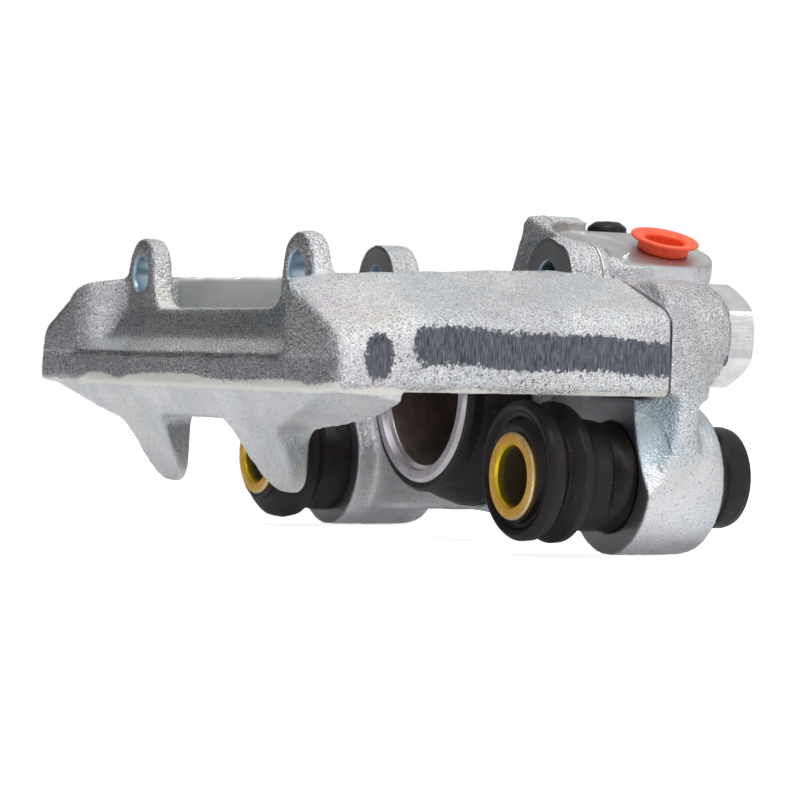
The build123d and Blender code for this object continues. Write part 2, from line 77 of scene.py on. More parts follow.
sleeve_low, sleeve_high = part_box("guide_sleeve_right")
DATUM = np.array([0.0, sleeve_low.y, 0.0])
SLEEVE_X = (sleeve_low.x + sleeve_high.x) / 2 / MM
SLEEVE_Z = (sleeve_low.z + sleeve_high.z) / 2 / MM
SLEEVE_R = (sleeve_high.x - sleeve_low.x) / 2 / MM
SLEEVE_END = (sleeve_high.y - sleeve_low.y) / MM
SLEEVE_BORE_R = 7.2


def drawn(point):
    """A point of the row frame, in metres, on the drawing in millimetres."""
    return (np.array(point) - DATUM) / MM


piston_low, piston_high = (drawn(p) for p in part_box("piston"))
bolt_low, bolt_high = (drawn(p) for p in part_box("bridge_bolt_right"))
screw_low, screw_high = (drawn(p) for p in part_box("bleed_screw"))
cap_low, cap_high = (drawn(p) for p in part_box("bleed_screw_cap"))
joints = {joint["name"]: joint for joint in frame["joints"]}
PISTON_R = (piston_high[0] - piston_low[0]) / 2
PISTON_FACE = piston_low[1]
PISTON_BACK = piston_high[1]
BOLT_X = (bolt_low[0] + bolt_high[0]) / 2
BOLT_Z = (bolt_low[2] + bolt_high[2]) / 2
BLEEDER_Y = (screw_low[1] + screw_high[1]) / 2
PORT_UP = np.array(joints["plug_pull"]["axis"])
PORT_FACE = 48.0
PORT_FOOT = np.array([27.3 * PORT_UP[2], 58.2, -27.3 * PORT_UP[0]])
JOINT_Y = 32.0
PAD_FACE_Y = -38.5
PIN_FACE_Y = 22.8
BOLT_SEAT_Y = 51.0
BOSS_BACK_Y = 48.3
NEAR_BOSS_Y = 27.0
FAR_BOSS_Y = 22.0
SPOT_R = 33.0
PIN_X = 45.0
PIN_Z = 27.7
ARM_X = 87.5


# ------------------------------------------------------------------ shading nodes
class Shade:
    """Builds the node graph of one material. Coordinates are in millimetres."""

    def __init__(self, name):
        self.material = bpy.data.materials.new(name)
        self.material.use_nodes = True
        self.tree = self.material.node_tree
        self.tree.nodes.clear()
        self.surface = self.add("ShaderNodeBsdfPrincipled")
        output = self.add("ShaderNodeOutputMaterial")
        self.tree.links.new(self.surface.outputs[0], output.inputs[0])
        coords = self.add("ShaderNodeTexCoord")
        scale = self.add("ShaderNodeVectorMath", operation="SCALE")
        self.tree.links.new(coords.outputs["Object"], scale.inputs[0])
        scale.inputs["Scale"].default_value = 1 / MM
        self.place = scale.outputs[0]

    def add(self, kind, **settings):
        node = self.tree.nodes.new(kind)
        for key, value in settings.items():
            setattr(node, key, value)
        return node

    def put(self, socket, value):
        if isinstance(value, bpy.types.NodeSocket):
            self.tree.links.new(value, socket)
        elif isinstance(value, tuple) and len(value) == 3 and socket.type == "RGBA":
            socket.default_value = (*value, 1)
        else:
            socket.default_value = value

    def axis(self, index):
        split = self.add("ShaderNodeSeparateXYZ")
        self.put(split.inputs[0], self.place)
        return split.outputs[index]

    def stretched(self, stretch):
        node = self.add("ShaderNodeVectorMath", operation="MULTIPLY")
        self.put(node.inputs[0], self.place)
        node.inputs[1].default_value = stretch
        return node.outputs[0]

    def noise(self, scale, detail=2.0, roughness=0.5, stretch=None, shift=0.0):
        node = self.add("ShaderNodeTexNoise", noise_dimensions="4D")
        self.put(node.inputs["Vector"], self.stretched(stretch) if stretch else self.place)
        node.inputs["W"].default_value = shift
        node.inputs["Scale"].default_value = scale
        node.inputs["Detail"].default_value = detail
        node.inputs["Roughness"].default_value = roughness
        return node.outputs[0]

    def cells(self, scale, randomness=1.0):
        node = self.add("ShaderNodeTexVoronoi")
        self.put(node.inputs["Vector"], self.place)
        node.inputs["Scale"].default_value = scale
        node.inputs["Randomness"].default_value = randomness
        return node.outputs["Distance"]

    def attribute(self, name):
        return self.add("ShaderNodeAttribute", attribute_name=name).outputs["Fac"]

    def calc(self, operation, *values):
        node = self.add("ShaderNodeMath", operation=operation)
        for socket, value in zip(node.inputs, values):
            self.put(socket, value)
        return node.outputs[0]

    def ease(self, value, low, high, start=0.0, end=1.0):
        """Smooth step of value from low to high, onto start..end."""
        node = self.add("ShaderNodeMapRange", interpolation_type="SMOOTHSTEP")
        self.put(node.inputs["Value"], value)
        node.inputs["From Min"].default_value = low
        node.inputs["From Max"].default_value = high
        node.inputs["To Min"].default_value = start
        node.inputs["To Max"].default_value = end
        return node.outputs[0]

    def blend(self, factor, a, b):
        node = self.add("ShaderNodeMix", data_type="RGBA")
        self.put(node.inputs[0], factor)
        self.put(node.inputs[6], a)
        self.put(node.inputs[7], b)
        return node.outputs[2]

    def between(self, factor, a, b):
        node = self.add("ShaderNodeMix", data_type="FLOAT")
        self.put(node.inputs[0], factor)
        self.put(node.inputs[2], a)
        self.put(node.inputs[3], b)
        return node.outputs[0]

    def torn(self, mask, noise, amount):
        """A mask whose edge is made ragged by noise."""
        return self.calc("ADD", mask, self.calc("MULTIPLY", self.calc("SUBTRACT", noise, 0.5), amount))

    def bump(self, height, depth, normal=None):
        """Relief of height 0..1, depth in millimetres."""
        node = self.add("ShaderNodeBump")
        self.put(node.inputs["Height"], height)
        node.inputs["Strength"].default_value = 1.0
        self.put(node.inputs["Distance"], depth * MM)
        if normal is not None:
            self.put(node.inputs["Normal"], normal)
        return node.outputs[0]

    def finish(self, color, metallic, roughness, normal=None, **extra):
        self.put(self.surface.inputs["Base Color"], color)
        self.put(self.surface.inputs["Metallic"], metallic)
        self.put(self.surface.inputs["Roughness"], roughness)
        if normal is not None:
            self.put(self.surface.inputs["Normal"], normal)
        for key, value in extra.items():
            self.put(self.surface.inputs[key.replace("_", " ")], value)
        return self.material


def plated_casting(name):
    """Bright zinc plate over shot-blasted iron, with machined faces and dressed patches."""
    s = Shade(name)
    machined = s.attribute("machined")
    dressed = s.attribute("dressed")
    oxide = s.attribute("oxide")
    fine = s.attribute("fine")
    grit = s.noise(2.3, 3, 0.7)
    pebble = s.cells(1.7)
    flecks = s.noise(1.9, 3, 0.65, shift=4)
    clouds = s.noise(0.05, 3, 0.6, shift=9)
    hue = s.noise(0.045, 2, 0.5, shift=21)
    color = s.blend(s.ease(clouds, 0.35, 0.65), (0.64, 0.65, 0.67), (0.82, 0.83, 0.84))
    color = s.blend(s.ease(hue, 0.52, 0.68, 0, 0.35), color, (0.80, 0.69, 0.76))
    color = s.blend(s.ease(hue, 0.48, 0.34, 0, 0.40), color, (0.60, 0.71, 0.78))
    color = s.blend(s.ease(s.noise(0.07, 2, 0.5, shift=33), 0.55, 0.7, 0, 0.35), color, (0.80, 0.79, 0.64))
    relief = s.calc("ADD", s.calc("MULTIPLY", pebble, 0.45), s.calc("MULTIPLY", grit, 0.8))
    rugged = s.calc("SUBTRACT", 1.0, s.calc("MULTIPLY", fine, 0.8))
    # painted shade: the low spots of the cast relief are darkened, less so on the fine faces
    crevice_shade = s.calc("MULTIPLY", s.ease(relief, 0.62, 0.44, 0, 0.62), rugged)
    color = s.blend(crevice_shade, color, (0.24, 0.24, 0.26))
    color = s.blend(s.ease(flecks, 0.44, 0.32, 0, 0.72), color, (0.13, 0.13, 0.145))
    color = s.blend(s.calc("MULTIPLY", fine, 0.24), color, (0.44, 0.44, 0.46))
    # painted shade: faces turned outboard are darkened, as if mirroring a dark room, with bright grains left
    # standing
    dull = s.calc("MULTIPLY", s.attribute("dull"), s.ease(grit, 0.60, 0.46, 0.10, 0.80))
    color = s.blend(dull, color, (0.15, 0.15, 0.165))
    # filed nose: upright streaks; the same dark streaks on the outboard recess wall are painted shade
    filed = s.attribute("filed")
    streak = s.noise(2.6, 3, 0.65, stretch=(1, 1, 0.04), shift=14)
    blotch = s.ease(s.noise(0.28, 3, 0.7, shift=15), 0.5, 0.62)
    streaked = s.calc("MULTIPLY", filed, s.ease(streak, 0.56, 0.40, 0, 0.55))
    color = s.blend(streaked, color, (0.30, 0.30, 0.34))
    color = s.blend(s.calc("MULTIPLY", filed, s.calc("MULTIPLY", blotch, 0.35)), color, (0.30, 0.29, 0.33))
    # ragged pale band of dry zinc along the lower edges
    dry = s.ease(s.torn(oxide, s.noise(1.6, 4, 0.7, shift=2), 1.9), 0.46, 0.56)
    color = s.blend(s.calc("MULTIPLY", dry, 0.85), color, (0.84, 0.82, 0.77))
    # dressed patches, dark and finely scratched, with torn edges
    scratch = s.noise(6.0, 3, 0.65, stretch=(1, 1, 0.05), shift=5)
    flat = s.ease(s.torn(dressed, s.noise(1.0, 4, 0.75, shift=7), 1.7), 0.48, 0.54)
    steel = s.blend(s.ease(scratch, 0.35, 0.7), (0.05, 0.053, 0.07), (0.24, 0.25, 0.285))
    color = s.blend(flat, color, steel)
    # machined faces with the tool's rings
    ring = s.calc("MULTIPLY", s.attribute("turned"), 2 * math.pi / 0.42)
    groove = s.calc("SINE", s.calc("ADD", ring, s.calc("MULTIPLY", s.noise(0.3, 1, 0.5), 3)))
    groove = s.calc("MULTIPLY", groove, s.attribute("ringed"))
    cut = s.blend(s.ease(clouds, 0.4, 0.6), (0.52, 0.53, 0.53), (0.66, 0.67, 0.66))
    cut = s.blend(s.ease(groove, -1, 1, 0, 0.3), cut, (0.38, 0.39, 0.40))
    cut = s.blend(s.attribute("shaded"), cut, (0.17, 0.17, 0.19))
    color = s.blend(machined, color, cut)
    color = s.blend(s.attribute("blued"), color, (0.40, 0.56, 0.68))
    calm = s.calc("MAXIMUM", machined, flat)
    for mask, share in ((dry, 0.45), (fine, 0.75), (filed, 0.6)):
        calm = s.calc("MAXIMUM", calm, s.calc("MULTIPLY", mask, share))
    depth = s.between(calm, 0.58, 0.012)
    height = s.calc("MULTIPLY", relief, depth)
    height = s.calc("ADD", height, s.calc("MULTIPLY", s.calc("MULTIPLY", groove, machined), 0.008))
    height = s.calc("ADD", height, s.calc("MULTIPLY", s.calc("MULTIPLY", scratch, flat), 0.03))
    rough = s.between(s.ease(grit, 0.3, 0.7), 0.20, 0.40)
    rough = s.between(dry, rough, 0.62)
    rough = s.between(flat, rough, 0.36)
    rough = s.between(s.calc("MULTIPLY", fine, 0.8), rough, 0.5)
    rough = s.between(machined, rough, 0.40)
    metal = s.between(dry, 1.0, 0.55)
    return s.finish(color, metal, rough, s.bump(height, 1.0))


def moulded_rubber(name):
    """Satin black rubber with flow marks and a little dust."""
    s = Shade(name)
    mottle = s.noise(0.35, 3, 0.6)
    grain = s.noise(6.0, 2, 0.5, shift=3)
    streak = s.noise(1.4, 2, 0.5, stretch=(0.25, 1, 0.25), shift=8)
    specks = s.ease(s.cells(0.55), 0.085, 0.05)
    color = s.blend(s.ease(mottle, 0.35, 0.7), (0.0065, 0.0042, 0.0042), (0.0125, 0.0082, 0.0082))
    color = s.blend(s.calc("MULTIPLY", specks, 0.5), color, (0.30, 0.27, 0.24))
    rough = s.between(s.ease(mottle, 0.3, 0.7), 0.36, 0.52)
    height = s.calc("ADD", s.calc("MULTIPLY", grain, 0.012), s.calc("MULTIPLY", streak, 0.03))
    return s.finish(color, 0.0, rough, s.bump(height, 1.0), Specular_IOR_Level=0.3)


def yellow_zinc(name):
    """Golden passivated zinc, cloudy, with a faint iridescence."""
    s = Shade(name)
    clouds = s.noise(0.28, 3, 0.6)
    fleck = s.noise(2.2, 3, 0.6, shift=6)
    color = s.blend(s.ease(clouds, 0.35, 0.7), (0.72, 0.38, 0.055), (0.86, 0.52, 0.10))
    color = s.blend(s.ease(fleck, 0.55, 0.75, 0, 0.5), color, (0.88, 0.68, 0.26))
    rough = s.between(s.ease(fleck, 0.3, 0.7), 0.30, 0.48)
    return s.finish(color, 0.9, rough, s.bump(s.calc("ADD", fleck, s.noise(0.9, 2, 0.5)), 0.05))


def sleeve_rim(name):
    s = Shade(name)
    fleck = s.noise(1.8, 3, 0.6, shift=2)
    color = s.blend(s.ease(fleck, 0.4, 0.65), (0.62, 0.56, 0.36), (0.78, 0.75, 0.62))
    return s.finish(color, 0.9, s.between(fleck, 0.25, 0.5), s.bump(fleck, 0.04))


def sleeve_inside(name):
    """Bore of the guide sleeve: painted light at the mouth, painted shade in brown further in."""
    s = Shade(name)
    depth = s.calc("SUBTRACT", s.axis(1), float(DATUM[1]) / MM)
    shade_edge_noise = s.noise(0.5, 3, 0.6, shift=1)
    torn = s.torn(depth, shade_edge_noise, 9.0)
    # painted light: bright yellow at the mouth; painted shade: brown and dark olive further into the bore
    color = s.blend(s.ease(depth, 1.6, 2.8), (0.86, 0.66, 0.015), (0.36, 0.31, 0.20))
    color = s.blend(s.ease(torn, 12.0, 13.0), color, (0.20, 0.17, 0.02))
    return s.finish(color, 0.85, 0.3, s.bump(s.noise(1.4, 2, 0.5, stretch=(0.2, 1, 0.2)), 0.05))


def turned_steel(name, light, dark, pitch, roughness):
    """Lathe-turned steel: fine lines across the piston axis."""
    s = Shade(name)
    lines = s.noise(1.0, 3, 0.7, stretch=(0.06, 1 / pitch, 0.06), shift=2)
    clouds = s.noise(0.12, 2, 0.5, shift=5)
    color = s.blend(s.ease(clouds, 0.3, 0.7), dark, light)
    color = s.blend(s.ease(lines, 0.4, 0.65, 0, 0.45), color, tuple(c * 0.6 for c in dark))
    return s.finish(color, 0.95, s.between(lines, roughness - 0.06, roughness + 0.08), s.bump(lines, 0.04))


def piston_rim(name):
    """Ground piston face with concentric marks."""
    s = Shade(name)
    radius = s.calc("SQRT", s.calc("ADD", s.calc("POWER", s.axis(0), 2.0), s.calc("POWER", s.axis(2), 2.0)))
    lines = s.calc("SINE", s.calc("MULTIPLY", radius, 2 * math.pi / 0.5))
    clouds = s.noise(0.2, 3, 0.6, shift=3)
    color = s.blend(s.ease(clouds, 0.3, 0.7), (0.40, 0.38, 0.42), (0.52, 0.49, 0.53))
    color = s.blend(s.ease(lines, -1, 1, 0, 0.2), color, (0.30, 0.28, 0.31))
    return s.finish(color, 0.9, 0.42, s.bump(s.calc("ADD", lines, s.noise(3, 2, 0.5)), 0.006))


def bright_steel(name):
    """Forged, zinc-plated hexagon: satin with fine scratches and small dents."""
    s = Shade(name)
    brush = s.noise(1.6, 3, 0.6, stretch=(1, 0.08, 1), shift=3)
    clouds = s.noise(0.16, 3, 0.6, shift=7)
    dents = s.ease(s.cells(0.28), 0.16, 0.05)
    color = s.blend(s.ease(clouds, 0.3, 0.7), (0.60, 0.61, 0.63), (0.80, 0.80, 0.80))
    color = s.blend(s.ease(brush, 0.5, 0.75, 0, 0.35), color, (0.42, 0.43, 0.45))
    color = s.blend(s.calc("MULTIPLY", dents, 0.3), color, (0.30, 0.28, 0.27))
    height = s.calc("SUBTRACT", s.calc("MULTIPLY", brush, 0.03), s.calc("MULTIPLY", dents, 0.05))
    return s.finish(color, 1.0, s.between(brush, 0.15, 0.30), s.bump(height, 1.0))


def red_plastic(name):
    """Matte orange-red moulded plastic that lets a little light through."""
    s = Shade(name)
    mottle = s.noise(0.5, 3, 0.6)
    color = s.blend(s.ease(mottle, 0.3, 0.7), (0.86, 0.075, 0.018), (0.95, 0.115, 0.035))
    height = s.calc("ADD", s.noise(2.2, 2, 0.5, shift=2), s.calc("MULTIPLY", s.noise(9, 2, 0.5), 0.3))
    return s.finish(
        color, 0.0, s.between(mottle, 0.36, 0.5), s.bump(height, 0.03),
        Subsurface_Weight=0.25, Subsurface_Radius=(0.003, 0.0012, 0.0006), Subsurface_Scale=1.0,
    )


CASTING = plated_casting("plated_casting")
RUBBER = moulded_rubber("boot_rubber")
SEAL = moulded_rubber("seal_rubber")
YELLOW = yellow_zinc("yellow_zinc_steel")
YELLOW_RIM = sleeve_rim("yellow_zinc_rim")
YELLOW_BORE = sleeve_inside("yellow_zinc_bore")
PISTON_SKIRT = turned_steel("piston_skirt", (0.66, 0.64, 0.66), (0.52, 0.50, 0.52), 0.25, 0.26)
PISTON_CUP = turned_steel("piston_cup", (0.40, 0.31, 0.275), (0.22, 0.178, 0.16), 0.35, 0.42)
PISTON_RIM = piston_rim("piston_rim")
BOLT_STEEL = bright_steel("plated_steel")
RED = red_plastic("red_plastic")


# ------------------------------------------------------------------ mesh helpers
def new_object(name, points, faces, materials, face_slots=None, crease=40.0):
    """Object from drawn points in millimetres, placed in the row frame, smooth with sharp creases."""
    mesh = bpy.data.meshes.new(name)
    mesh.from_pydata((np.asarray(points) * MM + DATUM).tolist(), [], faces)
    for material in materials:
        mesh.materials.append(material)
    if face_slots is not None:
        mesh.polygons.foreach_set("material_index", np.asarray(face_slots, np.int32))
    mesh.validate()
    tidy = bmesh.new()
    tidy.from_mesh(mesh)
    bmesh.ops.recalc_face_normals(tidy, faces=tidy.faces)
    tidy.to_mesh(mesh)
    tidy.free()
    mesh.shade_smooth()
    mesh.set_sharp_from_angle(angle=math.radians(crease))
    obj = bpy.data.objects.new(name, mesh)
    bpy.context.scene.collection.objects.link(obj)
    return obj


def rounded(corners, closed, step):
    """Corners (radius, height, fillet, slot) to a fine profile, rows of (radius, height, slot)."""
    count = len(corners)
    rows = []
    for i, corner in enumerate(corners):
        here = np.array(corner[:2], float)
        fillet = corner[2] if len(corner) > 2 else 0.0
        slot = corner[3] if len(corner) > 3 else 0
        if fillet <= 0 or (not closed and i in (0, count - 1)):
            rows.append((*here, slot))
            continue
        back = np.array(corners[i - 1][:2], float) - here
        ahead = np.array(corners[(i + 1) % count][:2], float) - here
        len_back, len_ahead = np.linalg.norm(back), np.linalg.norm(ahead)
        back, ahead = back / len_back, ahead / len_ahead
        half = math.acos(np.clip(back @ ahead, -1, 1)) / 2
        reach = min(fillet / max(math.tan(half), 1e-3), 0.47 * len_back, 0.47 * len_ahead)
        start, end = here + back * reach, here + ahead * reach
        for t in np.linspace(0, 1, 6):
            rows.append((*((1 - t) ** 2 * start + 2 * t * (1 - t) * here + t * t * end), slot))
    fine = []
    for i, row in enumerate(rows):
        if not closed and i == len(rows) - 1:
            fine.append(row)
            break
        ahead = rows[(i + 1) % len(rows)]
        pieces = max(1, int(math.hypot(ahead[0] - row[0], ahead[1] - row[1]) / step))
        for k in range(pieces):
            t = k / pieces
            fine.append((row[0] + (ahead[0] - row[0]) * t, row[1] + (ahead[1] - row[1]) * t, row[2]))
    return fine


def lathe(name, foot, up, corners, materials, closed=True, step=1.5, warp=None, crease=40.0):
    """Turned piece about the line through foot along up. A closed profile is a ring, an open one starts
    and ends on the axis. warp changes the (radius, height, angle) grids before they are placed."""
    profile = rounded(corners, closed, step)
    up = np.array(up, float)
    side = np.cross(up, (0.0, 0.0, 1.0)) if abs(up[2]) < 0.9 else np.cross(up, (0.0, 1.0, 0.0))
    side /= np.linalg.norm(side)
    third = np.cross(side, up)
    angle = np.arange(SEGMENTS) * 2 * math.pi / SEGMENTS
    radius = np.repeat([[row[0]] for row in profile], SEGMENTS, 1)
    height = np.repeat([[row[1]] for row in profile], SEGMENTS, 1)
    turn = np.repeat([angle], len(profile), 0)
    shift = np.zeros_like(radius)
    if warp is not None:
        radius, height, shift = warp(radius, height, turn)
    across = radius * np.cos(turn)
    along = radius * np.sin(turn) + shift
    points = (np.array(foot) + across[..., None] * side + along[..., None] * third + height[..., None] * up)
    points = points.reshape(-1, 3)
    index = np.arange(len(profile) * SEGMENTS).reshape(len(profile), SEGMENTS)
    if not closed:
        index[0, :] = index[0, 0]
        index[-1, :] = index[-1, 0]
    rings = len(profile) if closed else len(profile) - 1
    faces, slots = [], []
    for i in range(rings):
        low, high = index[i], index[(i + 1) % len(profile)]
        for j in range(SEGMENTS):
            k = (j + 1) % SEGMENTS
            corner_list = list(dict.fromkeys((int(low[j]), int(low[k]), int(high[k]), int(high[j]))))
            faces.append(corner_list)
            slots.append(profile[i][2])
    used = np.unique(index)
    remap = np.full(len(points), -1)
    remap[used] = np.arange(len(used))
    faces = [[int(remap[v]) for v in face] for face in faces]
    return new_object(name, points[used], faces, materials, slots, crease)


def settle(obj, body, slot_name, *nodes):
    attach(obj, body)
    if nodes:
        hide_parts(*nodes)
    return obj


def soft_step(value, low, high):
    t = np.clip((value - low) / (high - low), 0, 1)
    return t * t * (3 - 2 * t)


def hump(value, middle, half_width):
    """1 at the middle, easing to 0 at half_width away."""
    return 1 - soft_step(np.abs(value - middle), 0, half_width)


def lattice_noise(points, size, seed):
    """Smooth noise about -1..1 with features of a given size in millimetres."""
    cell = points / size
    low = np.floor(cell.min(0)).astype(int) - 1
    span = np.ceil(cell.max(0)).astype(int) - low + 3
    values = np.random.default_rng(seed).uniform(-1, 1, span)
    base = np.floor(cell).astype(int)
    t = cell - base
    t = t * t * (3 - 2 * t)
    base -= low
    total = np.zeros(len(points))
    for corner in range(8):
        bits = np.array([corner & 1, corner >> 1 & 1, corner >> 2 & 1])
        weight = np.prod(np.where(bits, t, 1 - t), axis=1)
        total += weight * values[tuple((base + bits).T)]
    return total


def relax(points, edges, weight, passes):
    """Laplacian smoothing in place, weighted per vertex."""
    a, b = edges.T
    count = len(points)
    degree = np.bincount(a, minlength=count) + np.bincount(b, minlength=count)
    for _ in range(passes):
        for k in range(3):
            column = points[:, k]
            total = np.bincount(a, column[b], count) + np.bincount(b, column[a], count)
            column += 0.5 * weight * (total / degree - column)
    return points


def cast_skin(name, node, machined, edge_weight, roundings, texture, marks):
    """Casting rebuilt from its CAD solid: edges rounded, faces textured, machined faces left crisp."""
    source = frame["nodes"][node]
    mesh = source.data.copy()
    mesh.materials.clear()
    shape = bmesh.new()
    shape.from_mesh(mesh)
    bmesh.ops.remove_doubles(shape, verts=shape.verts, dist=1e-6)
    shape.to_mesh(mesh)
    shape.free()
    rough = bpy.data.objects.new(name + "_source", mesh)
    bpy.context.scene.collection.objects.link(rough)
    remesh = rough.modifiers.new("voxels", "REMESH")
    remesh.mode = "VOXEL"
    remesh.voxel_size = VOXEL * MM
    made = bpy.data.meshes.new_from_object(rough.evaluated_get(bpy.context.evaluated_depsgraph_get()))
    bpy.data.objects.remove(rough)
    count = len(made.vertices)
    flat = np.empty(count * 3)
    made.vertices.foreach_get("co", flat)
    points = drawn(flat.reshape(-1, 3))
    edges = np.empty(len(made.edges) * 2, np.int64)
    made.edges.foreach_get("vertices", edges)
    edges = edges.reshape(-1, 2)
    scale = (0.5 / VOXEL) ** 2
    relax(points, edges, np.ones(count), 3)
    relax(points, edges, edge_weight(points), max(2, int(24 * scale)))
    for weight, passes in roundings:
        relax(points, edges, weight(points), max(2, int(passes * scale)))
    made.vertices.foreach_set("co", (points * MM + DATUM).ravel())
    made.update()
    normals = np.empty(count * 3, np.float32)
    made.vertex_normals.foreach_get("vector", normals)
    normals = normals.reshape(-1, 3)
    crisp = machined(points)
    relief = sum(depth * lattice_noise(points, size, seed) for size, depth, seed in texture)
    points = points + normals * ((1 - crisp) * relief)[:, None]
    points = np.clip(points, drawn(cad_low) + 0.02, drawn(cad_high) - 0.02)
    made.vertices.foreach_set("co", (points * MM + DATUM).ravel())
    made.materials.clear()
    made.materials.append(CASTING)
    made.polygons.foreach_set("material_index", np.zeros(len(made.polygons), np.int32))
    for mark, values in {"machined": crisp, **marks(points, normals)}.items():
        layer = made.attributes.new(mark, "FLOAT", "POINT")
        layer.data.foreach_set("value", np.asarray(values, np.float32))
    made.shade_smooth()
    made.update()
    made.name = name
    obj = bpy.data.objects.new(name, made)
    bpy.context.scene.collection.objects.link(obj)
    return settle(obj, "caliper", "plated_casting", node)


# ------------------------------------------------------------------ castings
CAST_TEXTURE = ((7.0, 0.10, 11), (2.6, 0.08, 12), (1.2, 0.08, 13))


def pin_distance(points):
    return np.hypot(np.abs(points[:, 0]) - PIN_X, points[:, 2] - PIN_Z)


def sleeve_distance(points):
    return np.hypot(np.abs(points[:, 0]) - SLEEVE_X, points[:, 2] - SLEEVE_Z)


def bolt_distance(points):
    return np.hypot(np.abs(points[:, 0]) - BOLT_X, points[:, 2] - BOLT_Z)


def frame_machined(points):
    x, y, z = points.T
    pads = hump(y, PAD_FACE_Y, 0.8) * soft_step(-z, -3, -1) * soft_step(-np.abs(x), -62, -60)
    arm_inner = hump(np.abs(x), 60.0, 0.9) * soft_step(y, -37, -34)
    joint = hump(y, JOINT_Y, 0.5)
    holes = 1 - soft_step(pin_distance(points), 4.7, 5.1)
    return np.maximum.reduce([pads, arm_inner, joint, holes])


def frame_edges(points):
    x, y, z = points.T
    crisp = frame_machined(points)
    near_joint = hump(y, JOINT_Y, 2.2)
    low_rim = 0.75 * (1 - soft_step(z, 1.5, 3.5))
    recess = 0.8 * soft_step(-y, 47, 50) * (1 - soft_step(np.abs(x), 66, 68)) * (1 - soft_step(z, 22, 24))
    return np.clip(1 - crisp - np.maximum.reduce([0.8 * near_joint, low_rim, recess]), 0.04, 1)


def finger_weight(points):
    x, y, z = points.T
    return soft_step(-z, 1.5, 6.0) * (1 - hump(y, PAD_FACE_Y, 1.6))


def nose_weight(points):
    x, y, z = points.T
    return soft_step(z, 3.5, 7.0) * soft_step(-y, 38, 46) * (1 - frame_machined(points)) * 0.9


def corner_weight(points):
    x, y, z = points.T
    return soft_step(np.abs(x), 62, 70) * soft_step(-y, 38, 47) * soft_step(z, 5, 10)


def shoulder_weight(points):
    x, y, z = points.T
    return soft_step(np.abs(x), 62, 66) * soft_step(z, 10, 14) * (1 - hump(y, JOINT_Y, 3.0))


def frame_marks(points, normals):
    x, y, z = points.T
    wander = lattice_noise(points, 11.0, 31)
    side = soft_step(np.abs(x), ARM_X - 2.2, ARM_X - 0.6) * soft_step(np.abs(normals[:, 0]), 0.7, 0.95)
    long_patch = soft_step(y, -40, -33) * hump(z, 9.6 - 0.02 * y + 0.8 * wander, 7.6)
    short_patch = 1.2 * hump(y, -45.5, 6.0) * hump(z, 7.8, 8.6)
    flecked = soft_step(z, -0.5, 1.5) * (1 - soft_step(z, 8, 13)) * soft_step(y, -52, -46)
    dressed = side * np.maximum(np.clip(1.25 * np.maximum(long_patch, short_patch), 0, 1), 0.34 * flecked)
    nose = soft_step(-y, 54, 55.5)
    reach = np.where(nose > 0.5, 0.4 + 1.5 * soft_step(x, -60, -50) + 1.3 * wander, 0.5 + 1.0 * wander)
    low_edge = (1 - soft_step(z, reach - 1.5, reach + 1.5)) * soft_step(z, -1.4, -0.3)
    outside = np.maximum(soft_step(np.abs(x), ARM_X - 4, ARM_X - 2), nose)
    fine = np.maximum(1 - soft_step(z, -2.0, 0.5), 0)
    in_hole = 1 - soft_step(pin_distance(points), 4.6, 5.0)
    filed = soft_step(-y, 54, 56) * soft_step(z, -0.5, 0.5) * (1 - soft_step(z, 7, 8))
    # painted shade: the recess wall facing outboard takes a share of the filed streaks
    wall = soft_step(y, -52, -49) * (1 - soft_step(y, -45.5, -45)) * soft_step(-normals[:, 1], 0.35, 0.7)
    filed = np.maximum(filed, 0.35 * wall * (1 - soft_step(np.abs(x), 58, 62)) * soft_step(z, 9, 12))
    # painted shade on the outboard-facing faces at the nose end
    dull = soft_step(-normals[:, 1], 0.45, 0.85) * soft_step(-y, 36, 40) * soft_step(z, -0.5, 0.5)
    return {
        "dull": dull, "dressed": dressed, "oxide": low_edge * outside, "fine": fine,
        "blued": 0.75 * in_hole, "filed": filed,
        "shaded": np.zeros(len(points)), "turned": np.zeros(len(points)), "ringed": np.zeros(len(points)),
    }


cast_skin(
    "bridge_frame_casting", "bridge_frame", frame_machined, frame_edges,
    ((finger_weight, 8), (nose_weight, 4), (shoulder_weight, 20), (corner_weight, 70)),
    CAST_TEXTURE, frame_marks,
)


def port_height(points):
    return points @ PORT_UP


def near_rail(points):
    """1 over the hose port's rail and its block, 0 elsewhere."""
    return soft_step(points[:, 0], 12, 14) * (1 - soft_step(points[:, 0], 55, 57))


def clearance_distance(points):
    across = points[:, 0] * PORT_UP[2] - points[:, 2] * PORT_UP[0]
    return np.hypot(across - 25.3, points[:, 1] - 39.8)


def spot_face(points, depth, margin):
    """1 on the dressed outboard faces of the two guide bosses."""
    x, y, z = points.T
    sleeve = sleeve_distance(points)
    near_edge, far_edge = SPOT_R - 0.4 + margin, 18.4 + margin
    near = hump(y, NEAR_BOSS_Y, depth) * (1 - soft_step(sleeve, near_edge, near_edge + 0.6))
    far = hump(y, FAR_BOSS_Y, depth) * (1 - soft_step(sleeve, far_edge, far_edge + 0.6))
    return np.where(x > 0, near, far)


